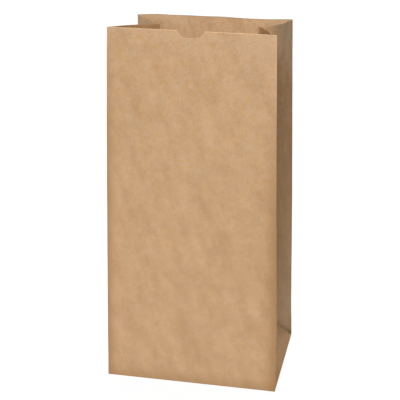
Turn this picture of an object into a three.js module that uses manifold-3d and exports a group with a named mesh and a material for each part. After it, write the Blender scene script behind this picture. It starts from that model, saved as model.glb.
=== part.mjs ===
// Lawn and leaf bag: a tall sack of two-ply kraft paper with a folded block base, standing open.
// Each side is a gusset that pleats inward in a V and spreads to the base along slanted folds.
// Millimetres, +Z up. The floor is Z = 0, the origin is the middle of the base, the front faces -Y.

import * as THREE from 'three';
import { mergeVertices } from 'three/addons/utils/BufferGeometryUtils.js';
import Module from 'manifold-3d';

// Driving dimensions, in millimetres

const panelWidth = 406;      // front and back panels, fold to fold
const gussetWidth = 305;     // each side, fold to fold
const mouthHeight = 824;     // mouth corners above the floor
const paper = 0.4;           // the two plies lying together

const leftLean = 36;         // the mouth's left end stands this far behind the base's middle
const rightLean = -22;       // and its right end this far in front of it
const leftDip = 7;           // the left pleat's tip hangs this far below the mouth corners
const rightDip = 1;
const frontDraw = 9;         // the front mouth corners draw in from the base corners
const leftBackDraw = 5;      // and so do the back ones, the right one more, as it was pulled open less
const rightBackDraw = 13;

const frontBulge = 6;        // the front panel stands out at mid height
const backWave = 14;         // the back panel's S-shaped wave along the mouth
const rightFrontBow = 6;     // each half of a pleat bows out at the mouth
const rightBackBow = 14;
const leftBackBow = 7.5;
const leftFrontBow = 13;
const rightFrontPeak = 30;   // and is deepest this far from the pleat's tip
const rightBackPeak = 39;
const leftBackPeak = 19;
const leftFrontPeak = 64;

const notchWidth = 67;       // thumb notch in the front panel, shoulder to shoulder
const notchDepth = 16;
const notchShift = 4.5;      // from the panel's middle to the notch's, to the right

const seamWidth = 25;        // glued overlap that closes the tube, down the back panel
const seamInset = 45;        // from that overlap to the back panel's right fold
const flapTip = 100;         // free edge of each base flap
const flapOverlap = 25;      // one base flap lies over the other by this much

// Turn of each gusset half from the side's plane, in degrees: 0 is flat, 90 is folded shut

const baseFold = 26;
const leftFold = 36;
const rightFold = 23.4;

// Form of the notch: a power of 2 makes it a parabola, and more gives it a flatter bottom

const notchPower = 3.5;

// Fineness of the bent sheet

const panelStep = 50;        // widest strip of a panel
const pleatSteps = 8;        // strips in each gusset half, and rows up to the base's knee
const wallRows = 8;          // rows from the knee to the mouth
const notchSteps = 9;        // chords in each half of the notch

const rows = pleatSteps + wallRows;
const halfGusset = gussetWidth / 2;
const baseLevel = 2 * paper; // both base flaps lie under the sheet
const up = new THREE.Vector3(0, 0, 1);

const lerp = (a, b, share) => new THREE.Vector3().lerpVectors(a, b, share);
const radians = THREE.MathUtils.degToRad;

// Fold points of one side, worked out so that the paper keeps its length between the folds.
// Across is 1 on the right and -1 on the left. Knees are where the front and back folds bend,
// apex is where the pleat's centre fold meets the two slanted folds that run to the base corners.
// Each half of the pleat brings its draw at the mouth, its bow and the place where that is deepest.
function foldPoints(across, mouthFold, lean, dip, frontHalf, backHalf) {
  const turn = radians(baseFold);
  const apexInset = halfGusset * Math.sin(turn);
  const apexRise = halfGusset * Math.cos(turn);
  const kneeRise = 2 * apexRise / (1 + Math.cos(turn) ** 2);
  const kneeReach = kneeRise * Math.cos(turn);
  const tipInset = halfGusset * Math.sin(radians(mouthFold));
  const mouthReach = halfGusset * Math.cos(radians(mouthFold));
  const sideX = across * panelWidth / 2;
  const bowSkew = (peak) => Math.log(0.5) / Math.log(peak / halfGusset);
  const edge = (facing, { draw, bow, peak }) => ({
    corner: new THREE.Vector3(sideX, facing * halfGusset, baseLevel),
    knee: new THREE.Vector3(sideX, facing * kneeReach, baseLevel + kneeRise),
    mouth: new THREE.Vector3(sideX - across * draw, lean + facing * mouthReach, mouthHeight),
    bow: (fromTip) => bow * Math.sin(Math.PI * fromTip ** bowSkew(peak)),
  });
  const tipDraw = (frontHalf.draw + backHalf.draw) / 2;
  return {
    front: edge(-1, frontHalf),
    back: edge(1, backHalf),
    middle: new THREE.Vector3(sideX, 0, baseLevel),
    apex: new THREE.Vector3(sideX - across * apexInset, 0, baseLevel + apexRise),
    tip: new THREE.Vector3(sideX - across * (tipDraw + tipInset), lean, mouthHeight - dip),
  };
}

const left = foldPoints(
  -1, leftFold, leftLean, leftDip,
  { draw: frontDraw, bow: leftFrontBow, peak: leftFrontPeak },
  { draw: leftBackDraw, bow: leftBackBow, peak: leftBackPeak },
);
const right = foldPoints(
  1, rightFold, rightLean, rightDip,
  { draw: frontDraw, bow: rightFrontBow, peak: rightFrontPeak },
  { draw: rightBackDraw, bow: rightBackBow, peak: rightBackPeak },
);

const wallShare = (row) => Math.max(0, row - pleatSteps) / wallRows;

function edgeFold(edge, row) {
  if (row <= pleatSteps) return lerp(edge.corner, edge.knee, row / pleatSteps);
  return lerp(edge.knee, edge.mouth, wallShare(row));
}

// A point of a strip between two folds, bowed outward.
// The strips run counter-clockwise, seen from above.
function bowedPoint(start, end, share, bow) {
  const outward = new THREE.Vector3(end.y - start.y, start.x - end.x, 0).normalize();
  return lerp(start, end, share).addScaledVector(outward, bow);
}

function panelPoint(from, to, bow, share, row) {
  return bowedPoint(edgeFold(from, row), edgeFold(to, row), share, bow(share, wallShare(row)));
}

// A point of a gusset half. Below the knee it lies on one of the two flat triangles
// that share the slanted fold.
function gussetPoint(side, edge, goingIn, share, row) {
  const inset = goingIn ? share : 1 - share;
  const height = row / pleatSteps;
  const point = new THREE.Vector3();
  if (height >= 1) {
    const outer = edgeFold(edge, row);
    const inner = lerp(side.apex, side.tip, wallShare(row));
    const bow = edge.bow(1 - inset) * wallShare(row) ** 2;
    return goingIn ? bowedPoint(outer, inner, share, bow) : bowedPoint(inner, outer, share, bow);
  }
  if (inset <= height) {
    point.addScaledVector(edge.corner, 1 - height);
    point.addScaledVector(edge.knee, height - inset);
    return point.addScaledVector(side.apex, inset);
  }
  point.addScaledVector(edge.corner, 1 - inset);
  point.addScaledVector(side.middle, inset - height);
  return point.addScaledVector(side.apex, height);
}

// Stations across a panel, from its left fold to its right one, with one on each edge of the seam

const seamLeft = 1 - (seamInset + seamWidth) / panelWidth;
const seamRight = 1 - seamInset / panelWidth;
const stations = [0];
const markStations = [];
for (const mark of [seamLeft, seamRight, 1]) {
  const begin = stations.at(-1);
  const count = Math.ceil((mark - begin) * panelWidth / panelStep);
  for (let k = 1; k <= count; k += 1) stations.push(begin + (mark - begin) * k / count);
  markStations.push(stations.length - 1);
}
const [seamLeftStation, seamRightStation, lastStation] = markStations;

const gussetStations = Array.from({ length: pleatSteps + 1 }, (_, k) => k / pleatSteps);
const frontBow = (share, rise) => frontBulge * Math.sin(Math.PI * share) * Math.sin(Math.PI * rise);
const backBow = (share, rise) => -backWave * Math.sin(2 * Math.PI * share) * rise ** 2;

// The sheet's six strips, counter-clockwise from the front left fold

const strips = [
  { at: (s, row) => panelPoint(left.front, right.front, frontBow, s, row), shares: stations, goingIn: true },
  { at: (s, row) => gussetPoint(right, right.front, true, s, row), shares: gussetStations, goingIn: true },
  { at: (s, row) => gussetPoint(right, right.back, false, s, row), shares: gussetStations, goingIn: false },
  {
    at: (s, row) => panelPoint(right.back, left.back, backBow, s, row),
    shares: stations.map((s) => 1 - s).reverse(),
    goingIn: true,
  },
  { at: (s, row) => gussetPoint(left, left.back, true, s, row), shares: gussetStations, goingIn: true },
  { at: (s, row) => gussetPoint(left, left.front, false, s, row), shares: gussetStations, goingIn: false },
];

const columns = strips.flatMap(({ at, shares, goingIn }) =>
  shares.slice(0, -1).map((share) => ({ at: (row) => at(share, row), goingIn })));

// Outer skin: the walls, a grid of columns and rows, and the base, a grid between the walls' bottom rows

const points = columns.flatMap((column) => Array.from({ length: rows + 1 }, (_, row) => column.at(row)));
const triangles = [];
const wallPoint = (column, row) => (column % columns.length) * (rows + 1) + row;

columns.forEach(({ goingIn }, i) => {
  for (let row = 0; row < rows; row += 1) {
    const a = wallPoint(i, row);
    const b = wallPoint(i + 1, row);
    const c = wallPoint(i + 1, row + 1);
    const d = wallPoint(i, row + 1);
    if (goingIn) triangles.push([a, b, c], [a, c, d]);
    else triangles.push([a, b, d], [b, c, d]);
  }
});

const deep = 2 * pleatSteps;
const innerBase = new Map();

// Column of the back panel at a station counted from the left
function backColumn(station) {
  return lastStation + deep + lastStation - station;
}

function basePoint(ix, iy) {
  if (iy === 0) return wallPoint(ix, 0);
  if (ix === lastStation) return wallPoint(lastStation + iy, 0);
  if (iy === deep) return wallPoint(backColumn(ix), 0);
  if (ix === 0) return wallPoint(backColumn(0) + deep - iy, 0);
  const key = ix * deep + iy;
  if (!innerBase.has(key)) {
    innerBase.set(key, points.length);
    const y = (iy / deep - 0.5) * gussetWidth;
    points.push(new THREE.Vector3((stations[ix] - 0.5) * panelWidth, y, baseLevel));
  }
  return innerBase.get(key);
}

for (let ix = 0; ix < lastStation; ix += 1) {
  for (let iy = 0; iy < deep; iy += 1) {
    const a = basePoint(ix, iy);
    const b = basePoint(ix, iy + 1);
    const c = basePoint(ix + 1, iy + 1);
    const d = basePoint(ix + 1, iy);
    triangles.push([a, b, c], [a, c, d]);
  }
}

// Direction that thickens the skin at each point: the shortest one that carries every facet there
// outward by one unit, found by least squares. The guard keeps it the shortest where the sheet is flat.
function thickeningVectors() {
  const guard = 1e-3;
  const facets = points.map(() => []);
  for (const [a, b, c] of triangles) {
    const normal = new THREE.Triangle(points[a], points[b], points[c]).getNormal(new THREE.Vector3());
    for (const corner of [a, b, c]) facets[corner].push(normal);
  }
  return facets.map((normals) => {
    const sum = (product) => normals.reduce((total, normal) => total + product(normal), 0);
    const xy = sum(({ x, y }) => x * y);
    const yz = sum(({ y, z }) => y * z);
    const zx = sum(({ z, x }) => z * x);
    const spread = new THREE.Matrix3(
      guard + sum(({ x }) => x * x), xy, zx,
      xy, guard + sum(({ y }) => y * y), yz,
      zx, yz, guard + sum(({ z }) => z * z),
    );
    const total = normals.reduce((all, normal) => all.add(normal), new THREE.Vector3());
    return total.applyMatrix3(spread.invert());
  });
}

const outward = thickeningVectors();
const lifted = (index, distance) => points[index].clone().addScaledVector(outward[index], distance);

// Closed mesh from points and triangles
function meshGeometry(vertices, faces) {
  const geometry = new THREE.BufferGeometry().setFromPoints(vertices);
  return geometry.setIndex(faces.flat());
}

// The sack: outer skin, inner skin one paper's thickness inside it, and the cut edge round the mouth
function sackGeometry() {
  const count = points.length;
  const faces = [...triangles, ...triangles.map(([a, b, c]) => [a + count, c + count, b + count])];
  columns.forEach((_, i) => {
    const a = wallPoint(i, rows);
    const b = wallPoint(i + 1, rows);
    faces.push([a, b, b + count], [a, b + count, a + count]);
  });
  return meshGeometry([...points, ...points.map((_, i) => lifted(i, -paper))], faces);
}

// The glued seam: a strip one paper thick on the back panel, sunk halfway into the sheet.
// Its ring runs out over the strip and back under it, and both runs share the panel's own facets.
function seamGeometry() {
  const first = backColumn(seamRightStation);
  const last = backColumn(seamLeftStation);
  const ring = [];
  for (let i = first; i <= last; i += 1) ring.push([i, paper]);
  for (let i = last; i >= first; i -= 1) ring.push([i, -paper / 2]);
  const vertices = [];
  const faces = [];
  for (let row = 0; row <= rows; row += 1) {
    for (const [column, lift] of ring) vertices.push(lifted(wallPoint(column, row), lift));
  }
  const size = ring.length;
  for (let row = 0; row < rows; row += 1) {
    for (let k = 0; k < size; k += 1) {
      const a = row * size + k;
      const b = row * size + (k + 1) % size;
      const outgoing = k < size / 2;
      if (outgoing) faces.push([a, b, b + size], [a, b + size, a + size]);
      else faces.push([a, b, a + size], [b, b + size, a + size]);
    }
  }
  const top = rows * size;
  for (let k = 0; k < size / 2 - 1; k += 1) {
    const far = size - 1 - k;
    faces.push([k, far, far - 1], [k, far - 1, k + 1]);
    faces.push([top + k, top + k + 1, top + far - 1], [top + k, top + far - 1, top + far]);
  }
  return meshGeometry(vertices, faces);
}

// Base flap: a trapezium from one long edge of the base, past the middle by half the overlap.
// Facing is -1 for the front flap and 1 for the back one, and its underside is at the given level.
function flapGeometry(facing, underside) {
  const hinge = -(halfGusset - paper);
  const wide = panelWidth / 2 - paper;
  const tip = flapTip / 2;
  const outline = new THREE.Shape();
  outline.moveTo(-wide, hinge);
  outline.lineTo(wide, hinge);
  outline.lineTo(tip, 0);
  outline.lineTo(tip, flapOverlap / 2);
  outline.lineTo(-tip, flapOverlap / 2);
  outline.lineTo(-tip, 0);
  const depth = baseLevel + paper / 2 - underside;
  const flap = new THREE.ExtrudeGeometry(outline, { depth, bevelEnabled: false });
  if (facing > 0) flap.rotateZ(Math.PI);
  return flap.translate(0, 0, underside);
}

// Cutter for the thumb notch, set square to the front panel near the middle of its mouth edge.
// Its depth falls from the middle to the shoulders as one minus a power of the distance.
function notchGeometry() {
  const half = notchWidth / 2;
  const headroom = notchDepth;
  const reach = notchDepth + frontBulge + Math.abs(leftLean - rightLean);
  const bowl = Array.from({ length: 2 * notchSteps + 1 }, (_, k) => {
    const share = k / notchSteps - 1;
    return new THREE.Vector2(half * share, -notchDepth * (1 - Math.abs(share) ** notchPower));
  });
  const outline = new THREE.Shape(bowl);
  outline.lineTo(half, headroom);
  outline.lineTo(-half, headroom);
  const cutter = new THREE.ExtrudeGeometry(outline, { depth: 2 * reach, bevelEnabled: false });
  const along = right.front.mouth.clone().sub(left.front.mouth).normalize();
  const outside = along.clone().cross(up);
  const place = new THREE.Matrix4().makeBasis(along, up, outside);
  const middle = lerp(left.front.mouth, right.front.mouth, 0.5).addScaledVector(along, notchShift);
  place.setPosition(middle.addScaledVector(outside, -reach));
  return cutter.applyMatrix4(place);
}

// Joining and cutting

const wasm = await Module();
wasm.setup();

function solid(geometry) {
  geometry.deleteAttribute('normal');
  geometry.deleteAttribute('uv');
  const merged = mergeVertices(geometry);
  const vertProperties = new Float32Array(merged.getAttribute('position').array);
  const triVerts = new Uint32Array(merged.index.array);
  return new wasm.Manifold(new wasm.Mesh({ numProp: 3, vertProperties, triVerts }));
}

function geometryOf(manifold) {
  const { vertProperties, triVerts } = manifold.getMesh();
  const geometry = new THREE.BufferGeometry();
  geometry.setAttribute('position', new THREE.BufferAttribute(vertProperties, 3));
  geometry.setIndex(new THREE.BufferAttribute(triVerts, 1));
  geometry.computeVertexNormals();
  return geometry;
}

const folded = solid(sackGeometry())
  .add(solid(seamGeometry()))
  .add(solid(flapGeometry(-1, paper)))
  .add(solid(flapGeometry(1, 0)))
  .subtract(solid(notchGeometry()));

const kraft = new THREE.MeshStandardMaterial({ color: '#c7a179', roughness: 0.9, metalness: 0 });
const sack = new THREE.Mesh(geometryOf(folded), kraft);
sack.name = 'paper_sack';

const bag = new THREE.Group();
bag.name = 'lawn_and_leaf_bag';
bag.add(sack);

export default bag;
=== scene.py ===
# %% [markdown]
# # A paper lawn and leaf bag, standing open
#
# The real bag is one tube of two-ply brown kraft paper. Its sides were folded inward when it
# was made flat, its end was folded up into a block base, and the mouth has been pulled open.
# Everything the eye reads as "paper bag" comes from those folds, so this lesson spends its
# effort on one curved sheet and on the light that rakes over it.
#
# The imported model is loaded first. It fixes the size and the place of everything below.

# %% Load the frame
import math

import bpy
import numpy as np
from mathutils import Matrix, Vector


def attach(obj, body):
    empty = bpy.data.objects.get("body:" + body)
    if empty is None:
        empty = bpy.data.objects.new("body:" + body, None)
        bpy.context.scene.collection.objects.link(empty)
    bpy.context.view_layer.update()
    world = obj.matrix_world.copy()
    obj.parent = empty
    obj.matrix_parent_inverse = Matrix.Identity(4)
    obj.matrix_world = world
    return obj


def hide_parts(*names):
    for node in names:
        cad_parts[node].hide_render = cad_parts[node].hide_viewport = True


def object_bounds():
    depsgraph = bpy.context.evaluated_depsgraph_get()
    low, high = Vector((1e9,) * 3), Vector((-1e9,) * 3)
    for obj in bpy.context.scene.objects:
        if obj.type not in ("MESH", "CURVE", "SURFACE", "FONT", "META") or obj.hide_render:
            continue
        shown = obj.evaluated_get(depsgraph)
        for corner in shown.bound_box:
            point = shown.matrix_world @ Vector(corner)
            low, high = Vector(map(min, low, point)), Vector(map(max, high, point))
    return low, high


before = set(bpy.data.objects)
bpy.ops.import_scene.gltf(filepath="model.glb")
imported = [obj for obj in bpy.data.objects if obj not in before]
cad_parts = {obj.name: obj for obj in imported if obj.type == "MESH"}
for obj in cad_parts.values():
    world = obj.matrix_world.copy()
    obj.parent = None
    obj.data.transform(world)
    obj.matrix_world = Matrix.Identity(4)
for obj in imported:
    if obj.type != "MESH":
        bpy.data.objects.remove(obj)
cad_box = [list(corner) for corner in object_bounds()]
MM = 0.001
print("frame holds", sorted(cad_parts), "box", cad_box)

# %% [markdown]
# ## The camera
#
# A product photograph like this one is taken from about two metres with a short telephoto lens,
# a little above the bag and a little to its right. The angles below were found by fitting the
# bag's own corners, so the rest of the scene can be judged against the photograph directly.
# The camera's three axes are written out, because that keeps the small roll easy to see.

# %% Place the camera
CAMERA_AZIMUTH = math.radians(12.91)
CAMERA_ELEVATION = math.radians(17.96)
CAMERA_ROLL = math.radians(-0.40)
CAMERA_DISTANCE = 2.150
CAMERA_TARGET_SIDE = -0.0071
CAMERA_TARGET_HEIGHT = 0.4079
FOCAL_PIXELS = 900.25
FRAME_PIXELS = 400
SENSOR_MM = 36.0


def camera_axes(azimuth, elevation, roll):
    """Right, up and back unit vectors of a camera that looks at the bag from the given angles."""
    back = Vector((math.sin(azimuth) * math.cos(elevation),
                   -math.cos(azimuth) * math.cos(elevation),
                   math.sin(elevation)))
    right = Vector((math.cos(azimuth), math.sin(azimuth), 0.0))
    up = back.cross(right)
    turn = Matrix.Rotation(roll, 3, back)
    return turn @ right, turn @ up, back


axes = camera_axes(CAMERA_AZIMUTH, CAMERA_ELEVATION, CAMERA_ROLL)
target = Vector((CAMERA_TARGET_SIDE * math.cos(CAMERA_AZIMUTH),
                 CAMERA_TARGET_SIDE * math.sin(CAMERA_AZIMUTH),
                 CAMERA_TARGET_HEIGHT))
camera = bpy.data.objects.new("camera", bpy.data.cameras.new("camera"))
camera.data.sensor_width = SENSOR_MM
camera.data.lens = FOCAL_PIXELS / FRAME_PIXELS * SENSOR_MM
orientation = Matrix(axes).transposed().to_4x4()
camera.matrix_world = Matrix.Translation(target + CAMERA_DISTANCE * axes[2]) @ orientation
bpy.context.scene.collection.objects.link(camera)
bpy.context.scene.camera = camera
print("lens", round(camera.data.lens, 1), "mm")

# %% [markdown]
# ## The folds
#
# Six folds run up the bag: its four corners and the middle fold of each side. Each corner fold
# climbs from the base to a knee, where the base's own folds end, and on to the mouth. Each middle
# fold starts at an apex, tucked inward above the base, and ends at the tip of the pleat.
# Paper bends but doesn't stretch, so the knee and the apex follow from how far a side is tucked in.
# The frame gives the width and the height, and the rest was read from the bag.

# %% Fold points, in millimetres
PANEL = round((cad_box[1][0] - cad_box[0][0]) / MM, 1)         # front and back panels, fold to fold
MOUTH_HEIGHT = round((cad_box[1][2] - cad_box[0][2]) / MM, 1)  # mouth corners above the floor
GUSSET = 305.0           # each side, fold to fold
PAPER = 0.4              # both plies together
HALF = GUSSET / 2
BASE_LEVEL = 2 * PAPER   # the base flaps lie under the sheet
BASE_FOLD = math.radians(26)
# Fold is the turn of each half of a pleat at the mouth, in degrees. Lean, dip and draw move the mouth's end
PLEATS = {"right": {"across": 1, "fold": 24.6, "lean": -22.0, "dip": 1.0, "draw": (9.0, 13.0)},
          "left": {"across": -1, "fold": 36.0, "lean": 36.0, "dip": 7.0, "draw": (9.0, 5.0)}}


def side_folds(across, fold, lean, dip, draw):
    """Ground, knee and mouth points of a side's front fold, middle fold and back fold.

    The apex lies HALF along the turned-in gusset; the knee is HALF from both the corner and the apex.
    """
    turn = math.radians(fold)
    cosine = math.cos(BASE_FOLD)
    apex_rise = HALF * cosine
    knee_rise = 2 * apex_rise / (1 + cosine ** 2)
    knee_reach = knee_rise * cosine
    side_x = across * PANEL / 2
    front_x, back_x = (across * (PANEL / 2 - inset) for inset in draw)
    reach = HALF * math.cos(turn)
    ground = [(side_x, y, BASE_LEVEL) for y in (-HALF, 0, HALF)]
    knee = [(side_x, -knee_reach, BASE_LEVEL + knee_rise),
            (side_x - across * HALF * math.sin(BASE_FOLD), 0, BASE_LEVEL + apex_rise),
            (side_x, knee_reach, BASE_LEVEL + knee_rise)]
    mouth = [(front_x, lean - reach, MOUTH_HEIGHT),
             ((front_x + back_x) / 2 - across * HALF * math.sin(turn), lean, MOUTH_HEIGHT - dip),
             (back_x, lean + reach, MOUTH_HEIGHT)]
    return np.array([ground, knee, mouth])


RIGHT = side_folds(**PLEATS["right"])
LEFT = side_folds(**PLEATS["left"])
# Counter-clockwise from the front left corner: FL, FR, right pleat, BR, BL, left pleat
ORDER = [LEFT[:, 0], RIGHT[:, 0], RIGHT[:, 1], RIGHT[:, 2], LEFT[:, 2], LEFT[:, 1]]
GROUND, KNEE, MOUTH = np.stack(ORDER, axis=1)
INWARD = np.sign(GROUND) * (1, 1, 0)
FOLD_AT = np.cumsum([0, PANEL, HALF, HALF, PANEL, HALF, HALF])
STRIP_LENGTH = np.diff(FOLD_AT)
PERIMETER = FOLD_AT[-1]
SHEET_TOP = HALF + np.linalg.norm(MOUTH[0] - KNEE[0])
print("sheet", PERIMETER, "mm round and", round(float(SHEET_TOP)), "mm up")

# %% [markdown]
# ## Curves for paper
#
# Paper that was folded, pulled open and handled is full of gentle swellings. Four small curves draw
# all of them: a smooth step, a bell, half a sine that leans to one end, and a bump that rises early.

# %% Curves
def smoothstep(low, high, value):
    """0 below low, 1 above high, and a smooth cubic between."""
    t = np.clip((value - low) / (high - low), 0, 1)
    return t * t * (3 - 2 * t)


def bell(distance, reach):
    """1 at no distance, falling off as a bell curve of the given reach."""
    return np.exp(-(distance / reach) ** 2)


def leaning_sine(share, peak):
    """Half a sine over a gusset half, its argument raised to the power that puts its top at the peak."""
    return np.sin(np.pi * share.clip(0, 1) ** (np.log(0.5) / np.log(peak / HALF)))


def early_bump(distance, peak):
    """Rises from 0 to 1 at the peak and dies away beyond it: x times e to the power of 1 - x."""
    x = distance / peak
    return x * np.exp(1 - x)


print("a bump half way to its peak is", round(float(early_bump(0.5, 1.0)), 2), "high")

# %% [markdown]
# ## How far each strip stands out
#
# Between two folds the paper is a straight strip plus a bow. The front swells a little, the back waves
# along the mouth, and each half of a pleat bulges near its tip. The right front half also lies close to
# the front panel beside its fold, and rolls out past it a little lower down. In use, a few folds have
# strayed sideways by a millimetre or two.

# %% Bow of a strip, and stray folds
STRIPS = 6
FRONT, RIGHT_IN, RIGHT_OUT, BACK, LEFT_IN, LEFT_OUT = range(STRIPS)
PANELS = (FRONT, BACK)
GOING_IN = (RIGHT_IN, LEFT_IN)       # halves that lead from a corner fold to the pleat's tip
GOING_OUT = (RIGHT_OUT, LEFT_OUT)
FRONT_BULGE = 6.0                    # front panel, at mid height
BACK_WAVE = 14.0                     # back panel's S-shaped wave at the mouth
# Bow of each strip's gusset half at the mouth, and its deepest place, from the pleat's tip
PLEAT_BOW = np.array([0, 6.0, 22.0, 0, 7.5, 13.0])
BOW_PEAK = np.array([HALF / 2, 30.0, 39.0, HALF / 2, 19.0, 64.0])
FRONT_TUCK, TUCK_PEAK = 5.0, 25.0    # the right front half lies close to the front panel beside its fold
FOLD_ROLL, ROLL_PEAK = 5.0, 6.0      # and lower down it rolls out past the fold before it turns in
ROLL_BELOW_MOUTH, ROLL_REACH = 80.0, 62.0
SHOULDER, SHOULDER_REACH = 1.6, 10.0  # panels stand proud of their folds, and fall away over the reach
CROWN_FULL = 140.0                   # the shoulders are whole above this height
CROWN_FADE = (560.0, 800.0)          # and fade towards the mouth between these
# Folds that strayed sideways: number, shift along X, height of the middle and reach up and down
STRAY_FOLDS = [(0, -2.2, 560.0, 380.0), (1, -1.6, 470.0, 330.0), (3, -1.7, 150.0, 150.0)]
STRAY_HELD = 100.0                   # below this height the base holds the folds


def strip_of(around):
    """Number of the strip that a distance round the sheet falls in."""
    return np.clip(np.searchsorted(FOLD_AT, around, side="right") - 1, 0, STRIPS - 1)


def strip_bow(strip, share, wall, height):
    """Distance a strip stands out from the straight line between its folds.

    The front is a double sine, the back one full wave, and a gusset half a sine that leans to the tip.
    On the right front half an early bump tucks it in and the square of another rolls it out.
    Both panels fall away to their folds along an exponential, except near the base and the mouth.
    """
    from_tip = np.where(np.isin(strip, GOING_IN), 1 - share, share)
    front = FRONT_BULGE * np.sin(np.pi * share) * np.sin(np.pi * wall)
    rear = -BACK_WAVE * np.sin(2 * np.pi * share) * wall ** 2
    pleat = PLEAT_BOW[strip] * wall ** 2 * leaning_sine(from_tip, BOW_PEAK[strip])
    tuck = FRONT_TUCK * wall ** 2 * early_bump(share * HALF, TUCK_PEAK)
    roll = FOLD_ROLL * bell(SHEET_TOP - height - ROLL_BELOW_MOUTH, ROLL_REACH)
    roll = roll * early_bump(share * HALF, ROLL_PEAK) ** 2
    pleat = pleat + (roll - tuck) * (strip == RIGHT_IN)
    to_fold = np.minimum(share, 1 - share) * PANEL
    crown = SHOULDER * (1 - np.exp(-to_fold / SHOULDER_REACH))
    crown = crown * smoothstep(0, CROWN_FULL, height) * (1 - smoothstep(*CROWN_FADE, height))
    return np.select([strip == FRONT, strip == BACK], [front + crown, rear + crown], pleat)


def stray(fold, height):
    """Sideways shift of a fold: a bell over its height, held at the base."""
    shift = sum((fold == k) * move * bell(height - middle, reach)
                for k, move, middle, reach in STRAY_FOLDS)
    return shift * smoothstep(0, STRAY_HELD, height)


print("the first fold strays", round(float(stray(0, np.array(560.0))), 1), "mm at its middle")

# %% [markdown]
# ## The sheet as a function
#
# A point of the sheet has two coordinates: how far round the bag it is, and how far up the paper.
# Below the base fold the second one turns negative, and the sheet runs in under the bag as the base.
# Only the foot of each side differs from a bowed strip: there a slanted fold runs from the corner to
# the apex, and parts two flat triangles.

# %% Sharp sheet
TINY = 1e-6              # keeps a length of zero from being divided by


def sharp_sheet(around, height):
    """Point of the sheet with knife-sharp folds, for arrays of distances around and up the paper.

    Each fold is a line through ground, knee and mouth. A strip joins two folds straight and adds its bow
    sideways. At the foot of a side the point is a weighted mean of the corners of its triangle.
    """
    around = np.mod(around, PERIMETER)
    strip = strip_of(around)
    following = (strip + 1) % STRIPS
    share = (around - FOLD_AT[strip]) / STRIP_LENGTH[strip]
    foot = np.clip(height / HALF, 0, 1)[..., None]
    wall = np.maximum(height - HALF, 0)[..., None] / (SHEET_TOP - HALF)
    sink = np.clip(-height, 0, HALF)[..., None]

    def fold(k):
        line = GROUND[k] - INWARD[k] * sink + (KNEE[k] - GROUND[k]) * foot + (MOUTH[k] - KNEE[k]) * wall
        line[..., 0] += stray(k, height)
        return line

    start, end = fold(strip), fold(following)
    point = start + (end - start) * share[..., None]

    goes_in = np.isin(strip, GOING_IN)
    corner = np.where(goes_in, strip, following)
    middle = np.where(goes_in, following, strip)
    inset = np.where(goes_in, share, 1 - share)[..., None]
    upper = GROUND[corner] * (1 - foot) + KNEE[corner] * (foot - inset) + KNEE[middle] * inset
    upper[..., 0] += stray(corner, height) * (1 - inset[..., 0])
    lower = GROUND[corner] * (1 - inset) + GROUND[middle] * (inset - foot) + KNEE[middle] * foot
    triangle = np.where(inset <= foot, upper, lower)
    at_foot = np.isin(strip, PANELS, invert=True) & (height > 0) & (height < HALF)
    point = np.where(at_foot[..., None], triangle, point)

    along = end - start
    length = np.hypot(along[..., 0], along[..., 1]).clip(TINY)
    outward = np.stack([along[..., 1] / length, -along[..., 0] / length, np.zeros_like(length)], axis=-1)
    return point + outward * strip_bow(strip, share, wall[..., 0], height)[..., None]


print("front left mouth corner", sharp_sheet(np.array([0.0]), np.array([SHEET_TOP])).round(1).tolist())

# %% [markdown]
# ## Softening the folds
#
# A fold in heavy paper is no knife edge: the sheet turns over a millimetre or two. That comes from one
# idea, averaging the sharp sheet over a small window. On a plain stretch the average changes nothing,
# and at a fold it cuts the corner.

# %% Soft sheet
FOLD_RADIUS = 1.2
WINDOW = np.linspace(-1, 1, 5)
WINDOW_WEIGHT = np.array([1, 2, 2, 2, 1]) / 8


def soft_sheet(around, height):
    """Mean of the sharp sheet over a square window of the fold's radius."""
    total = 0
    for da, wa in zip(WINDOW, WINDOW_WEIGHT):
        for dh, wh in zip(WINDOW, WINDOW_WEIGHT):
            total = total + wa * wh * sharp_sheet(around + FOLD_RADIUS * da, height + FOLD_RADIUS * dh)
    return total


half_way = (np.array([0.0]), np.array([SHEET_TOP / 2]))
cut_off = np.linalg.norm(soft_sheet(*half_way) - sharp_sheet(*half_way))
print("the soft fold cuts", round(float(cut_off), 2), "mm off the corner")

# %% [markdown]
# ## A grid that is fine where the paper turns
#
# The sheet becomes a grid of columns round the bag and rows up it. Columns crowd at the folds, at the
# sides of the thumb notch and at the edges of the glued seam, and are wide apart on the plain panels.
# The rows at the foot repeat the columns of a gusset half, so the slanted folds run through grid corners.

# %% Columns
NEAR_FOLD = np.array([0, 0.8, 1.6, 2.4, 4.0, 6.5, 10.0, 15.0])
GUSSET_STEP = 5.0
PANEL_STEP = 8.0
NOTCH_MIDDLE = PANEL / 2 + 4.5
NOTCH_HALF = 33.5            # thumb notch, from its middle to a shoulder
NOTCH_DEPTH = 16.0
NOTCH_POWER = 3.5            # 2 would be a parabola, more makes the bottom flatter
NOTCH_STEP = 1.2
SEAM_INSET = 45.0            # glued seam, from the back panel's right fold
SEAM_WIDTH = 25.0
SEAM_STEP = 0.7


def graded(length, step):
    """Stations from 0 to length: crowded at both ends, then about a step apart."""
    plain = length - 2 * NEAR_FOLD[-1]
    middle = NEAR_FOLD[-1] + np.linspace(0, plain, round(plain / step) + 1)
    return np.concatenate([NEAR_FOLD[:-1], middle, length - NEAR_FOLD[-2::-1]])


def with_extra(stations, extra):
    """The stations with extra ones put in, and those that lie too close to an extra one left out."""
    clear = np.abs(stations[:, None] - extra).min(axis=1) > SEAM_STEP
    return np.sort(np.concatenate([stations[clear], extra]))


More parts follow.
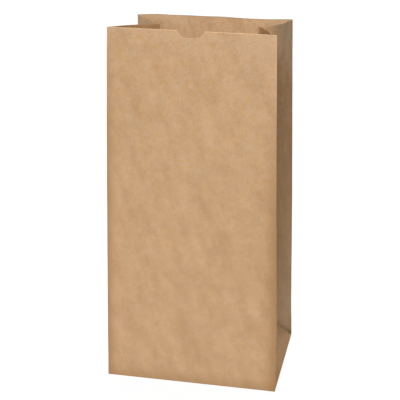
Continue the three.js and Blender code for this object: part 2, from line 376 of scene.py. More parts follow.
# The outer two thirds of the notch's half width, where it is steep
flank = np.arange(NOTCH_HALF / 3, NOTCH_HALF + NOTCH_STEP / 2, NOTCH_STEP)
notch_stations = NOTCH_MIDDLE + np.concatenate([-flank, flank])
seam_edges = SEAM_INSET + np.array([0, SEAM_WIDTH])
seam_stations = np.concatenate([seam_edges - SEAM_STEP / 2, seam_edges + SEAM_STEP / 2])
FRONT_STATIONS = with_extra(graded(PANEL, PANEL_STEP), notch_stations)
BACK_STATIONS = with_extra(graded(PANEL, PANEL_STEP), seam_stations)
GUSSET_STATIONS = graded(HALF, GUSSET_STEP)
STRIP_STATIONS = [FRONT_STATIONS, GUSSET_STATIONS, GUSSET_STATIONS,
                  BACK_STATIONS, GUSSET_STATIONS, GUSSET_STATIONS]
columns = np.concatenate([start + stations[:-1] for start, stations in zip(FOLD_AT, STRIP_STATIONS)])
print("columns", len(columns))

# %% Rows
WALL_STEP = 8.0
LIP_START = 12.0             # the lip's own rows begin above this, below the mouth
LIP_BELOW = np.array([9.0, 6.5, 4.5, 3.0, 1.5, 0.0])
BASE_SLIT = 0.5              # the base's rows stop this far from its middle line
BASE_ROWS = 7

base_middle = np.linspace(HALF - BASE_SLIT, NEAR_FOLD[-1], BASE_ROWS)
base_rows = -np.concatenate([base_middle[:-1], NEAR_FOLD[:0:-1]])
wall_steps = round((SHEET_TOP - HALF - LIP_START) / WALL_STEP)
wall_rows = np.linspace(HALF, SHEET_TOP - LIP_START, wall_steps + 1)[1:]
rows = np.concatenate([base_rows, GUSSET_STATIONS, wall_rows, SHEET_TOP - LIP_BELOW])
print("grid", len(columns), "columns by", len(rows), "rows")

# %% [markdown]
# ## Cockles
#
# Kraft paper is never quite flat. It cockles as it takes up damp, in long shallow dents that run steeply
# across the sheet. So several dozen waves, each a whole number of turns round the bag and most of them
# slanting the same way, lift it by up to a few millimetres. The corner folds and the base stay stiff.

# %% Cockles of the paper
rng = np.random.default_rng(7)
WAVES = 60
WAVE_AROUND = rng.integers(9, 28, WAVES)              # turns round the bag
WAVE_LENGTH_UP = rng.uniform(110, 330, WAVES)         # mm
WAVE_SIGN = rng.choice([1, 1, 1, -1], WAVES)
WAVE_PHASE = rng.uniform(0, 2 * np.pi, WAVES)
WAVE_SLOPE = 0.010                                    # steepest slope of each wave
COCKLE_HELD = 60.0                                    # mm up from the base, where they are whole
COCKLE_FOLD = (-10.0, 45.0)                           # mm from a corner fold, over which they grow
CORNER_FOLDS = (0, 1, 3, 4)


def fold_distance(around, folds):
    """Distance round the sheet to the nearest of the given folds."""
    half_round = PERIMETER / 2
    gap = np.mod(around[..., None] - FOLD_AT[list(folds)] + half_round, PERIMETER) - half_round
    return np.abs(gap).min(axis=-1)


def cockle(around, height):
    """Sum of waves that run round and up the sheet, each as high as its slope and its length make it."""
    total = np.zeros_like(around)
    for turns, length, sign, phase in zip(WAVE_AROUND, WAVE_LENGTH_UP, WAVE_SIGN, WAVE_PHASE):
        number = 2 * np.pi * turns / PERIMETER
        total += np.sin(number * around + sign * 2 * np.pi * height / length + phase) / number
    held = smoothstep(0, COCKLE_HELD, height)
    held = held * smoothstep(*COCKLE_FOLD, fold_distance(around, CORNER_FOLDS))
    return WAVE_SLOPE * total * held


print("waves", WAVES, "of", WAVE_AROUND.min(), "to", WAVE_AROUND.max(), "turns")

# %% [markdown]
# ## Mouth, seam and base
#
# The thumb notch is made by pulling the top rows of the front down, and the uneven cut of the back's mouth
# by pushing its rows up by a millimetre or two. The seam lifts a band of the back panel by one paper, and
# the base flaps hang below the sheet by one or two.

# %% Notch, cut, seam and flaps
# Rises of the back panel's cut edge: height in mm, then middle and reach as shares of the panel
BACK_RISES = [(1.6, 0.42, 0.11), (1.4, 0.89, 0.06)]
MOUTH_PULL = 160.0           # the rows that follow the notch and the cut begin this far below the mouth
FLAP_LAP = 12.5              # the back flap runs this far past the base's middle, over the front one
FLAP_FROM = 1.5              # the flaps begin this far in from the base fold


def notch_drop(around):
    """Depth of the thumb notch below the mouth: one minus a power of the distance from its middle."""
    share = np.minimum(np.abs(around - NOTCH_MIDDLE) / NOTCH_HALF, 1)
    return NOTCH_DEPTH * (1 - share ** NOTCH_POWER)


def back_rise(around):
    """Height of the back panel's uneven cut above a straight one: a sum of bells across it."""
    share = (around - FOLD_AT[BACK]) / PANEL
    rise = sum(height * bell(share - middle, reach) for height, middle, reach in BACK_RISES)
    return rise * (share > 0) * (share < 1)


def seam_lift(around, height):
    """One paper over the seam's width, on the back panel above the base."""
    offset = around - FOLD_AT[BACK] - SEAM_INSET
    inside = (offset > 0) & (offset < SEAM_WIDTH)
    return PAPER * inside * (height > 0)


def base_drop(around, height):
    """Depth of the base flaps: one paper for the front flap, two for the back one that laps over it."""
    strip = strip_of(around)
    front = np.where(height < -(HALF - FLAP_LAP), 2, 1) * (strip == FRONT)
    return PAPER * (front + 2 * (strip == BACK)) * (height < -FLAP_FROM)


around_grid, height_grid = np.meshgrid(columns, rows, indexing="ij")
pull = smoothstep(SHEET_TOP - MOUTH_PULL, SHEET_TOP, height_grid)
height_grid = height_grid + (back_rise(around_grid) - notch_drop(around_grid)) * pull
print("the notch is", notch_drop(around_grid).max().round(1), "mm deep")

# %% [markdown]
# ## Two skins
#
# The soft sheet is the outer skin's ground. Both skins take the cockles, the cut edge of the front curls in
# slightly at the mouth, and the inner skin lies one paper inside the outer one.

# %% Outer and inner skin
LIP_REACH = 3.5
LIP_CURL = 0.45
LIP_CORNER = 12.0            # the curl grows over this distance from the front's folds
LIP_NOTCH_LOSS = 0.8         # and most of it is lost in the notch
BASE_SKIN_ROW = 3            # rows further in than this near-fold station face straight down

soft = soft_sheet(around_grid, height_grid)


def grid_normals(grid):
    """Unit normals of the grid, from the cross product of its two directions. The base points down."""
    closed = np.concatenate([grid[-1:], grid, grid[:1]])
    round_bag = closed[2:] - closed[:-2]
    up_sheet = np.gradient(grid, axis=1)
    normal = np.cross(round_bag, up_sheet)
    normal /= np.linalg.norm(normal, axis=-1, keepdims=True).clip(TINY)
    normal[:, rows < -NEAR_FOLD[BASE_SKIN_ROW]] = (0, 0, -1)
    return normal


normals = grid_normals(soft)
drop = notch_drop(around_grid)
curled = smoothstep(0, LIP_CORNER, np.minimum(around_grid, PANEL - around_grid)) * (around_grid < PANEL)
curled = curled * (1 - LIP_NOTCH_LOSS * drop / NOTCH_DEPTH)
above_lip = (height_grid + drop - SHEET_TOP + LIP_REACH) / LIP_REACH
lip = LIP_CURL * curled * np.clip(above_lip, 0, 1) ** 2
cockles = cockle(around_grid, height_grid)
bend = cockles - lip
added = seam_lift(around_grid, height_grid) + base_drop(around_grid, height_grid)
inner = soft + normals * (bend - PAPER)[..., None]
outer = soft + normals * (bend + added)[..., None]
print("sheet stands", outer[..., 2].min().round(2), "to", outer[..., 2].max().round(1), "mm,",
      "cockles reach", np.abs(cockles).max().round(2), "mm")

# %% [markdown]
# ## From arrays to a mesh
#
# Both skins share one grid, so the faces are index arithmetic: quads round the bag, the inner skin
# turned over, and one row of quads to close the cut edge at the mouth. At the foot the quads on the
# slanted folds are cut along the fold. One long face closes the middle of the base in each skin.

# %% Faces of the sack
column_count, row_count = around_grid.shape
index = np.arange(column_count * row_count).reshape(column_count, row_count)
right_index = np.roll(index, -1, axis=0)
quads = np.stack([index[:, :-1], right_index[:, :-1], right_index[:, 1:], index[:, 1:]], axis=-1)

foot_steps = len(GUSSET_STATIONS) - 1
column_strip = np.searchsorted(FOLD_AT, columns + TINY, side="right") - 1
strip_start = np.searchsorted(columns, FOLD_AT[:-1] - TINY)
step_in_strip = np.arange(column_count) - strip_start[column_strip]
row_step = np.arange(row_count - 1) - len(base_rows)
rising = np.isin(column_strip, GOING_IN)[:, None] & (step_in_strip[:, None] == row_step)
last_first = foot_steps - 1 - step_in_strip[:, None]
falling = np.isin(column_strip, GOING_OUT)[:, None] & (last_first == row_step)
whole = quads[~(rising | falling)]
up_cut = quads[rising]
down_cut = quads[falling]
triangles = np.concatenate([up_cut[:, [0, 1, 2]], up_cut[:, [0, 2, 3]],
                            down_cut[:, [0, 1, 3]], down_cut[:, [1, 2, 3]]])

skin = index.size
rim = np.stack([index, right_index, right_index + skin, index + skin], axis=-1)[:, -1]
faces = [*whole.tolist(), *(whole[:, ::-1] + skin).tolist(), *rim.tolist()]
faces += [*triangles.tolist(), *(triangles[:, ::-1] + skin).tolist()]
faces += [index[::-1, 0].tolist(), (index[:, 0] + skin).tolist()]
print("faces", len(faces), "of which", len(triangles), "are triangles in each skin")

# %% [markdown]
# ## One mesh, smooth except at the slanted folds
#
# The whole sack shades smoothly, because its folds are already rounded in the grid. The slanted folds at
# the foot are the exception: paper pressed there is sharp, so their edges are marked.

# %% Build the sack
points = np.concatenate([outer.reshape(-1, 3), inner.reshape(-1, 3)]) * MM
sack_mesh = bpy.data.meshes.new("kraft_sack")
sack_mesh.from_pydata(points, [], faces)

slant_from = np.concatenate([up_cut[:, 0], down_cut[:, 1]])
slant_to = np.concatenate([up_cut[:, 2], down_cut[:, 3]])
slants = np.sort(np.stack([slant_from, slant_to], axis=1), axis=1)
edge_ends = np.zeros(2 * len(sack_mesh.edges), np.int64)
sack_mesh.edges.foreach_get("vertices", edge_ends)
edge_ends = np.sort(edge_ends.reshape(-1, 2), axis=1)
# One number per edge, from its two ends
edge_key = (2 * skin, 1)
slant_keys = np.concatenate([slants, slants + skin]) @ edge_key
sharp = sack_mesh.attributes.new("sharp_edge", "BOOLEAN", "EDGE")
sharp.data.foreach_set("value", np.isin(edge_ends @ edge_key, slant_keys))
sack_mesh.polygons.foreach_set("use_smooth", np.ones(len(sack_mesh.polygons), bool))

sack = bpy.data.objects.new("kraft_sack", sack_mesh)
bpy.context.scene.collection.objects.link(sack)
print("sack has", len(sack_mesh.polygons), "faces and", len(slant_keys), "sharp edges")

# %% [markdown]
# ## Where the paper is darker: painted shade at the folds and the foot
#
# The corner folds and the foot are painted a deeper brown over a finger's width or two, less towards the
# mouth, as shade. The triangles at the foot of the sides are painted darker from the front corner, also as
# shade. Every tone here is one number per grid point, kept on the mesh as an attribute, so it follows the
# paper and not the room.

# %% Painted shade at the folds and the foot
# Each corner fold: its number, how deep the painted shade is, how far it reaches and where it fades, in mm
# up
CORNER_SHADE = [(0, 0.6, 15.0, 520, 900), (1, 0.72, 22.0, 300, 780),
               (3, 0.6, 15.0, 300, 780), (4, 0.6, 15.0, 520, 900)]
BASE_SHADE, BASE_REACH = 0.5, 21.0
FOOT_SIDE_SHADE, FOOT_SIDE_SHADE_REACH = 0.5, 90.0


def from_corner(around, strip):
    """Distance round the sheet from the corner fold of a gusset half."""
    leads_in = np.isin(strip, GOING_IN)
    return np.where(leads_in, around - FOLD_AT[strip], FOLD_AT[strip + 1] - around)


def above_slant(around, height, strip):
    """Distance above the slanted fold, which rises one for one from the corner; negative below it."""
    return (height - from_corner(around, strip)) / math.sqrt(2)


def margin_shade_tone(around, height, strip):
    """Painted shade: bells round the corner folds, each fading upward, joined to a bell round the base fold.

    On the sides, the triangles below the slanted folds have a wide bell from the front corner instead.
    """
    corner = 0
    for fold, depth, reach, low, high in CORNER_SHADE:
        margin = depth * bell(fold_distance(around, [fold]), reach)
        corner = corner + margin * (1 - smoothstep(low, high, height))
    foot = BASE_SHADE * bell(np.maximum(height, 0), BASE_REACH)
    panels = np.clip(corner + foot - corner * foot, 0, 1)
    sides = FOOT_SIDE_SHADE * bell(from_corner(around, strip), FOOT_SIDE_SHADE_REACH)
    sides = sides * np.isin(strip, (RIGHT_IN, LEFT_OUT))
    sides = (sides + foot - sides * foot) * (above_slant(around, height, strip) < 0)
    return np.where(np.isin(strip, PANELS), panels, sides)


strip_grid = np.broadcast_to(column_strip[:, None], around_grid.shape)
sheet = (around_grid, height_grid, strip_grid)
margin_shade = margin_shade_tone(*sheet)
print("worn over", round(100 * float((margin_shade > 0.1).mean())), "% of the grid")

# %% [markdown]
# ## Lines of painted shade
#
# The slanted folds at the foot are pressed valleys, and a line of shade is painted along them, blackest in
# the corner. A fainter line of painted shade lies below the mouth, along the fold left from the packet in
# which the bag was doubled up. Where the right front half rolls out beside its fold, it faces away from the
# light, and shade is painted there. Painted shade darkens the cut edges of the back and, less so, of the
# sides, and makes the inner face of the left front half darker towards the pleat's tip.

# %% Shade tone
CREASE_LIFT = 0.7            # mm, the shade lies this far above the slanted fold
CREASE_ABOVE = 6.0           # and reaches this far up and down
CREASE_BELOW = 1.2
CREASE_DEEP = 14.0           # mm from the corner where it is blackest
CREASE_FAR = 0.30            # what is left of it further on
PACKET_FOLD, PACKET_FOLD_WIDTH = 110.0, 3.0      # mm below the mouth
PACKET_SHADE, PACKET_REACH = 0.12, 40.0
ROLL_SHADE, ROLL_SHADE_REACH = 0.6, 9.0
CUT_EDGE = 1.6               # mm, height of the cut edge that is darkened with painted shade or made paler with a painted highlight
BACK_EDGE_SHADE, SIDE_EDGE_SHADE = 0.8, 0.55
LEFT_SHADE, LEFT_SHADE_REACH = 0.25, 26.0


def crease_tone(around, height, strip):
    """Painted shade: a bell round the slanted fold, wider above it than below, and deepest at the corner."""
    above = above_slant(around, height, strip) - CREASE_LIFT
    line = np.where(above > 0, bell(above, CREASE_ABOVE), bell(above, CREASE_BELOW))
    depth = CREASE_FAR + (1 - CREASE_FAR) * np.exp(-from_corner(around, strip) / CREASE_DEEP)
    return line * depth * np.isin(strip, PANELS, invert=True) * (height > 0)


def packet_crease_shade(around, height, strip):
    """Painted shade: a bell across the front below the mouth, which fades away from both of its corner
    folds.
    """
    line = bell(SHEET_TOP - height - PACKET_FOLD, PACKET_FOLD_WIDTH)
    return PACKET_SHADE * line * bell(fold_distance(around, (0, 1)), PACKET_REACH) * (strip == FRONT)


def fold_shade(around, height, strip):
    """Bell on the right front half beside its fold, where it rolls out and faces away from the light."""
    beside = bell(from_corner(around, strip), ROLL_SHADE_REACH) * (strip == RIGHT_IN)
    return ROLL_SHADE * beside * bell(SHEET_TOP - height - ROLL_BELOW_MOUTH, ROLL_REACH)


top_edge = smoothstep(SHEET_TOP - CUT_EDGE, SHEET_TOP, np.broadcast_to(rows, around_grid.shape))
# Painted shade on the cut edges of the back and, less so, of the sides
edge_shade = np.select([strip_grid == FRONT, strip_grid == BACK], [0.0, BACK_EDGE_SHADE], SIDE_EDGE_SHADE)
shade = np.maximum(crease_tone(*sheet), edge_shade * top_edge) + packet_crease_shade(*sheet) + fold_shade(*sheet)
# Painted shade on the inner face of the left front half, towards the pleat's tip
left_tip = bell(HALF - from_corner(around_grid, strip_grid), LEFT_SHADE_REACH) * (strip_grid == LEFT_OUT)
print("deepest shade", shade.max().round(2))

# %% [markdown]
# ## Where the paper is paler: painted sheen and painted light
#
# Painted sheen makes the paper paler under the mouth of the sides, at the knees at the foot of the sides and
# along the front's mouth, and a painted highlight runs along the upper part of the front's right fold.
# Painted light gives a golden brown to the right back half near the pleat's tip and to the strip just under
# the slanted folds.

# %% Painted sheen and painted golden light
SIDE_PALE, SIDE_PALE_REACH, SIDE_PALE_SLANT, SIDE_PALE_BLUR = 0.8, 135.0, 0.86, 32.0
KNEE_PALE, KNEE_HEIGHT, KNEE_REACH = 0.5, 95.0, 50.0
FRONT_PALE, FRONT_PALE_REACH, FRONT_PALE_LEFT = 0.5, 35.0, 0.5
CORNER_PALE, CORNER_PALE_REACH, CORNER_PALE_POWER = 0.2, 130.0, 3
FOLD_HIGHLIGHT, FOLD_HIGHLIGHT_REACH = 0.5, 6.0
FOLD_HIGHLIGHT_FADE = (100, 250)   # mm below the mouth
GOLD_TIP, GOLD_TIP_REACH, GOLD_FROM, GOLD_TO = 0.9, 42.0, 300.0, 700.0
GOLD_FOOT, GOLD_FOOT_REACH = 1.0, 18.0


def painted_sheen(around, height, strip):
    """Painted sheen: a band under the mouth of the sides and a bell at their knees.

    On the front, a band that widens across it, and a painted highlight along the upper part of the right
    fold.
    """
    from_mouth = SHEET_TOP - height
    limit = SIDE_PALE_REACH - SIDE_PALE_SLANT * from_corner(around, strip)
    sides = SIDE_PALE * (1 - smoothstep(-SIDE_PALE_BLUR, SIDE_PALE_BLUR, from_mouth - limit))
    above = above_slant(around, height, strip) > 0
    sides = sides + KNEE_PALE * above * bell(height - KNEE_HEIGHT, KNEE_REACH)
    share = np.clip(around / PANEL, 0, 1)
    band = FRONT_PALE * bell(from_mouth, FRONT_PALE_REACH * (FRONT_PALE_LEFT + share))
    sheen = CORNER_PALE * share ** CORNER_PALE_POWER * bell(from_mouth, CORNER_PALE_REACH)
    fold_highlight = FOLD_HIGHLIGHT * bell(around - PANEL, FOLD_HIGHLIGHT_REACH) * (1 - smoothstep(*FOLD_HIGHLIGHT_FADE, from_mouth))
    front = np.clip(band + sheen + fold_highlight, 0, 1)
    return np.select([strip == FRONT, strip == BACK], [front, 0.0], sides)


def painted_golden_light(around, height, strip):
    """Painted light: a bell at the upper inner end of the right back half, and another just below the
    slanted folds.
    """
    tip = GOLD_TIP * bell(HALF - from_corner(around, strip), GOLD_TIP_REACH) * (strip == RIGHT_OUT)
    tip = tip * smoothstep(GOLD_FROM, GOLD_TO, height)
    above = above_slant(around, height, strip)
    foot = GOLD_FOOT * bell(above, GOLD_FOOT_REACH) * (above < 0)
    return (tip + foot) * np.isin(strip, PANELS, invert=True)


pale, golden = painted_sheen(*sheet), painted_golden_light(*sheet)
# The pale share is painted sheen and painted highlight
print("rubbed pale over", round(100 * float((pale > 0.1).mean())), "% of the grid")

# %% [markdown]
# ## Painted shade on the sides, painted highlight on the cut edge, and grain
#
# Painted shade makes the sides, turned in and out of the light, a warmer and darker brown up to the mouth. A
# painted highlight makes the front's cut edge a little paler, most of all at its left end. The fibres lie up
# at the mouth, where hands have raised them, and inside the bag, and lie flatter near the base. Each tone
# then goes onto the mesh under its own name.

# %% Store the tones
# Painted shade on the sides: where it starts and where it is whole, in mm up, its share at the foot and on
# the inner skin
SIDE_FROM, SIDE_TO, SIDE_FOOT, SIDE_INSIDE = 120.0, 620.0, 0.65, 0.5
# Painted highlight on the front's cut edge: its share along the edge, and how far its brighter left end
# reaches
CUT_SHARE, CUT_REACH = 0.15, 40.0
FIBRE_FOOT, FIBRE_MOUTH, FIBRE_INSIDE = 0.9, 1.55, 1.7
FIBRE_FROM, FIBRE_TO = 250.0, 830.0


def side_shade_tone(around, height, strip):
    """Painted shade on the sides: climbs evenly up the sheet, and is even in the triangles below the slanted
    folds.
    """
    climb = np.clip((height - SIDE_FROM) / (SIDE_TO - SIDE_FROM), 0, 1)
    below = above_slant(around, height, strip) < 0
    return np.where(below, SIDE_FOOT, climb) * np.isin(strip, PANELS, invert=True)


def add_tone(mesh, name, outside, inside):
    """Stores one number per grid point for the paper's colour to read: outer skin first, then inner."""
    layer = mesh.attributes.new(name, "FLOAT", "POINT")
    values = np.concatenate([outside.reshape(-1), inside.reshape(-1)])
    layer.data.foreach_set("value", values.astype(np.float32))


nothing = np.zeros_like(around_grid)
# Painted highlight on the front's cut edge, brightest at its left end
edge_highlight = top_edge * (strip_grid == FRONT) * (1 - drop / NOTCH_DEPTH)
edge_highlight = edge_highlight * (CUT_SHARE + (1 - CUT_SHARE) * bell(around_grid, CUT_REACH))
side = side_shade_tone(*sheet)
fibre = FIBRE_FOOT + (FIBRE_MOUTH - FIBRE_FOOT) * smoothstep(FIBRE_FROM, FIBRE_TO, height_grid)
# Apart from the raised fibres, the tones stored below are painted shade and painted light of several kinds
add_tone(sack_mesh, "painted_fold_shade", margin_shade, nothing)
add_tone(sack_mesh, "shade_tone", shade, np.maximum(shade, LEFT_SHADE * left_tip))
add_tone(sack_mesh, "edge_highlight", edge_highlight, edge_highlight)
add_tone(sack_mesh, "painted_inside_light", nothing, 1.0 * np.isin(strip_grid, PANELS))
add_tone(sack_mesh, "painted_side_shade", side, SIDE_INSIDE * side)
add_tone(sack_mesh, "painted_sheen", pale, nothing)
add_tone(sack_mesh, "painted_golden_light", golden, nothing)
add_tone(sack_mesh, "raised_fibre", fibre, FIBRE_INSIDE + nothing)
print("tones", [layer.name for layer in sack_mesh.attributes if layer.data_type == "FLOAT"])

# %% [markdown]
# ## Kraft paper
#
# Unbleached kraft is matt and warm brown. Close to, it is a felt of fibres that lie mostly along the sheet,
# from base to mouth, some darker and some paler than the rest. From a step away it is mottled: the pulp
# never spreads quite evenly, and the first, slanted mottle paints the shade and light of the sheet's long
# dents. Every one of these is noise of a known size, whose low end is mixed to a paler colour and its high
# end to a darker one.
# Roughness stays high, and a fine bump keeps highlights broken.

# %% Colours and sizes of the paper
KRAFT = "#ac8a65"
# painted light on the inner skin of the front and the back
INNER_LIGHT_COLOUR = "#bd9f7c"
# painted shade on the sides
SIDE_SHADE_COLOUR = "#a1794f"
# painted sheen and painted highlight
SHEEN_COLOUR = "#b69676"
# painted light near the right pleat's tip and under the slanted folds
GOLDEN_LIGHT_COLOUR = "#c79e6c"
# painted shade along the corner folds, the base fold and the foot of the sides
FOLD_SHADE_COLOUR = "#8b663f"
# painted shade in the slanted folds, along the packet fold, on the cut edges and beside the right fold
PAINTED_SHADE_COLOUR = "#4c3118"
# painted highlight on the front's cut edge
CUT_HIGHLIGHT_COLOUR = "#b39a7e"
# Each mottle: size across and along in mm, tilt in degrees, darker colour, paler colour, strength.
# Real fibres are finer: the last two are drawn this coarse so that they show.
# The first mottle is painted shade and painted light of the sheet's slanted dents; the rest are the pulp's
# own tone.
MOTTLES = [(26.0, 75.0, -21, "#8f6e4a", "#bd9c78", 0.33),
           (22.0, 22.0, 0, "#9b7b58", "#c09b71", 0.32),
           (12.0, 12.0, 0, "#aa8050", "#ac957f", 0.30),
           (3.6, 3.6, 0, "#9d7445", "#b6a08a", 0.17),
           (2.0, 5.0, 0, "#8d6c48", "#c4a480", 0.14)]
FIBRE_BELOW = 15.0           # mottles finer than this grow and fade with the raised fibres
NOISE_DETAIL, NOISE_ROUGHNESS = 1.5, 0.5
DARK_BAND = (0.52, 0.78)     # noise that starts to darken the paper, and that darkens it in full
PALE_BAND = (0.48, 0.22)
TOOTH, TOOTH_DEPTH = 0.3, 0.6 * MM
GRAIN_BAND = (0.3, 0.7)      # noise that is smoothest and roughest to the touch
ROUGHNESS_BAND = (0.78, 0.92)
SPECULAR = 0.3               # less than the usual half, since fibres scatter light without gloss


def linear(hex_colour):
    """Linear RGBA from an sRGB hex colour."""
    channels = np.array([int(hex_colour[i:i + 2], 16) for i in (1, 3, 5)]) / 255
    value = np.where(channels <= 0.04045, channels / 12.92, ((channels + 0.055) / 1.055) ** 2.4)
    return (*value.tolist(), 1.0)


def add(tree, kind, settings, links):
    """Adds a node, sets its properties and inputs by name or number, and links its inputs to outputs."""
    node = tree.nodes.new(kind)
    for name, value in settings.items():
        if name in node.bl_rna.properties.keys():
            setattr(node, name, value)
        else:
            node.inputs[name].default_value = value
    for name, output in links.items():
        tree.links.new(output, node.inputs[name])
    return node.outputs


print("kraft in linear light", [round(c, 3) for c in linear(KRAFT)[:3]])

# %% [markdown]
# ## Colour of the paper, from tone to tone
#
# The paper starts as plain kraft, or, on the inner skin of the front and the back, a paler colour that is
# painted light reaching into the bag. The wide tones go on first, then the mottles, so the pulp shows
# through them, and last the painted shade along the folds and the base, the lines of painted shade and the
# painted highlight of the cut edge, which lie on top of the pulp.

# %% Tones under the mottles
kraft = bpy.data.materials.new("unbleached_kraft_paper")
kraft.use_nodes = True
tree = kraft.node_tree
FACTOR, FIRST, SECOND, RESULT = 0, 6, 7, 2      # sockets of a colour Mix node
MIX = {"data_type": "RGBA"}
UNDER_TONES = [("painted_side_shade", SIDE_SHADE_COLOUR), ("painted_sheen", SHEEN_COLOUR), ("painted_golden_light", GOLDEN_LIGHT_COLOUR)]

# Painted light: the inner skin of the front and the back is paler
inside = add(tree, "ShaderNodeAttribute", {"attribute_name": "painted_inside_light"}, {})["Fac"]
ground_colours = {**MIX, FIRST: linear(KRAFT), SECOND: linear(INNER_LIGHT_COLOUR)}
colour = add(tree, "ShaderNodeMix", ground_colours, {FACTOR: inside})[RESULT]
for name, tint in UNDER_TONES:
    share = add(tree, "ShaderNodeAttribute", {"attribute_name": name}, {})["Fac"]
    tinted = {**MIX, SECOND: linear(tint)}
    colour = add(tree, "ShaderNodeMix", tinted, {FACTOR: share, FIRST: colour})[RESULT]
print("colour has", len(UNDER_TONES), "tones under the mottles")

# %% Mottles
object_place = add(tree, "ShaderNodeTexCoord", {}, {})["Object"]
raised = add(tree, "ShaderNodeAttribute", {"attribute_name": "raised_fibre"}, {})["Fac"]
for across, along, tilt, darker, paler, strength in MOTTLES:
    turned = {"vector_type": "TEXTURE", "Rotation": (0, math.radians(tilt), 0)}
    turned["Scale"] = (1, 1, along / across)
    vector = add(tree, "ShaderNodeMapping", turned, {"Vector": object_place})["Vector"]
    noise = {"Scale": 1 / (across * MM), "Detail": NOISE_DETAIL, "Roughness": NOISE_ROUGHNESS}
    pattern = add(tree, "ShaderNodeTexNoise", noise, {"Vector": vector})["Fac"]
    amount = {}
    if across < FIBRE_BELOW:
        times = {"operation": "MULTIPLY", 1: strength}
        amount["To Max"] = add(tree, "ShaderNodeMath", times, {0: raised})["Value"]
    for band, tint in ((DARK_BAND, darker), (PALE_BAND, paler)):
        reach = {"From Min": band[0], "From Max": band[1], "To Max": strength}
        share = add(tree, "ShaderNodeMapRange", reach, {"Value": pattern, **amount})["Result"]
        tinted = {**MIX, SECOND: linear(tint)}
        colour = add(tree, "ShaderNodeMix", tinted, {FACTOR: share, FIRST: colour})[RESULT]
print("mottles", len(MOTTLES), "from", MOTTLES[0][1], "to", MOTTLES[-1][0], "mm")

# %% Painted shade, painted highlight and surface
OVER_TONES = [("painted_fold_shade", FOLD_SHADE_COLOUR), ("shade_tone", PAINTED_SHADE_COLOUR), ("edge_highlight", CUT_HIGHLIGHT_COLOUR)]

for name, tint in OVER_TONES:
    share = add(tree, "ShaderNodeAttribute", {"attribute_name": name}, {})["Fac"]
    tinted = {**MIX, SECOND: linear(tint)}
    colour = add(tree, "ShaderNodeMix", tinted, {FACTOR: share, FIRST: colour})[RESULT]
paper = tree.nodes["Principled BSDF"].inputs
tree.links.new(colour, paper["Base Color"])
# The finest pattern, which is left over from the loop above, gives the bump and the roughness
tooth = {"Strength": TOOTH, "Distance": TOOTH_DEPTH}
bumped = add(tree, "ShaderNodeBump", tooth, {"Height": pattern})["Normal"]
tree.links.new(bumped, paper["Normal"])
matt = {"From Min": GRAIN_BAND[0], "From Max": GRAIN_BAND[1],
        "To Min": ROUGHNESS_BAND[0], "To Max": ROUGHNESS_BAND[1]}
roughness = add(tree, "ShaderNodeMapRange", matt, {"Value": pattern})["Result"]
tree.links.new(roughness, paper["Roughness"])
paper["Specular IOR Level"].default_value = SPECULAR
sack_mesh.materials.append(kraft)
print("material", kraft.name, "with", len(tree.nodes), "nodes")

# %% [markdown]
# ## The sheet takes the place of its solid
#
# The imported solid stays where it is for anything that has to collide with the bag. Only the sheet is seen.
# Paper has no joint at a fold, so the whole of it rides on the bag's one body.

# %% Hand the sack to the frame
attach(sack, "root")
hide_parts("paper_sack")
print("sack rides on root in the place of paper_sack")

# %% [markdown]
# ## Light
#
# The photograph is a studio shot on white. Its light was found by lighting the finished bag with one lamp at
# a time, and asking which mix gives the brightness of each face in the photograph. The answer is two soft
# lamps straight in front, one low and one high, so the front is even and the inside of the back is lit too.
# A strong lamp hangs high behind: it lights what faces up, like the foot of the side, and the back.

# %% Softboxes
# Each lamp: name, azimuth and elevation in degrees, distance and size in metres, level
LAMPS = [("front_softbox", -1, 14, 12.0, 4.8, 0.42),
         ("high_front_softbox", -1, 42, 8.0, 3.2, 0.71),
         ("high_rear_softbox", 180, 68, 6.0, 2.4, 2.9)]


def softbox(name, azimuth, elevation, distance, size, level):
    """A square lamp that faces the bag, and lights a card that faces it there to the given level."""
    data = bpy.data.lights.new(name, "AREA")
    data.size = size
    data.energy = level * math.pi ** 2 * distance ** 2
    lamp = bpy.data.objects.new(name, data)
    towards = camera_axes(math.radians(azimuth), math.radians(elevation), 0)[2]
    lamp.location = Vector((0, 0, MOUTH_HEIGHT / 2 * MM)) + distance * towards
    lamp.rotation_euler = towards.to_track_quat("Z", "Y").to_euler()
    bpy.context.scene.collection.objects.link(lamp)


for settings in LAMPS:
    softbox(*settings)
print("lamps", [settings[0] for settings in LAMPS])

# %% [markdown]
# ## Floor and surroundings
#
# The floor is an opal light table, which glows white to the camera and lifts the shade on the sides from
# below. A faint white tent stands around it. Both look whiter to the camera than they light the bag, as a
# burnt-out background does, and a Light Path node tells the two apart.

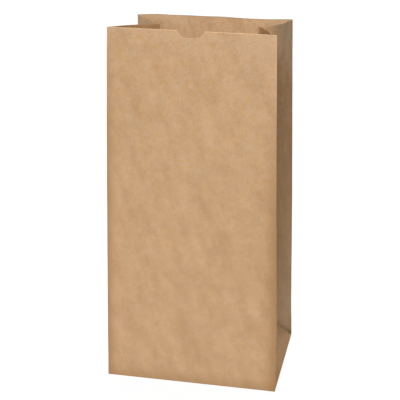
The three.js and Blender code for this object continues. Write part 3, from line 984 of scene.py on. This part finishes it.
# %% Light table
FLOOR_RADIUS = 6.0
FLOOR_CORNERS = 96
TABLE_COLOUR = "#333333"
WHITE = "#ffffff"
TABLE_GLOW = 0.88            # what the table gives the bag
TABLE_WHITE = 0.97           # and what the camera sees of it, so that the bag's shadow is burnt out

corner_angle = np.linspace(0, 2 * np.pi, FLOOR_CORNERS, endpoint=False)
disc = np.stack([np.cos(corner_angle), np.sin(corner_angle), np.zeros(FLOOR_CORNERS)], axis=1)
floor_mesh = bpy.data.meshes.new("floor")
floor_mesh.from_pydata(disc * FLOOR_RADIUS, [], [list(range(FLOOR_CORNERS))])
floor = bpy.data.objects.new("floor", floor_mesh)
bpy.context.scene.collection.objects.link(floor)
table = bpy.data.materials.new("opal_light_table")
table.use_nodes = True
opal = table.node_tree.nodes["Principled BSDF"].inputs
opal["Base Color"].default_value = linear(TABLE_COLOUR)
opal["Roughness"].default_value = 1.0
opal["Specular IOR Level"].default_value = 0.0
opal["Emission Color"].default_value = linear(WHITE)
seen_floor = add(table.node_tree, "ShaderNodeLightPath", {}, {})["Is Camera Ray"]
glow_levels = {"To Min": TABLE_GLOW, "To Max": TABLE_WHITE}
glow = add(table.node_tree, "ShaderNodeMapRange", glow_levels, {"Value": seen_floor})["Result"]
table.node_tree.links.new(glow, opal["Emission Strength"])
floor_mesh.materials.append(table)
print("floor", 2 * FLOOR_RADIUS, "m across")

# %% White tent
TENT_LEVEL = 0.05            # what the tent gives the bag
TENT_WHITE = 1.05            # and what the camera sees of it

world = bpy.data.worlds.new("white_tent")
world.use_nodes = True
air = world.node_tree
backdrop = air.nodes["Background"]
backdrop.inputs["Color"].default_value = linear(WHITE)
seen_sky = add(air, "ShaderNodeLightPath", {}, {})["Is Camera Ray"]
tent_levels = {"To Min": TENT_LEVEL, "To Max": TENT_WHITE}
tent_glow = add(air, "ShaderNodeMapRange", tent_levels, {"Value": seen_sky})["Result"]
air.links.new(tent_glow, backdrop.inputs["Strength"])
bpy.context.scene.world = world
bpy.context.scene.view_settings.view_transform = "Standard"
print("lit by", len(LAMPS), "softboxes, the light table and a faint tent")
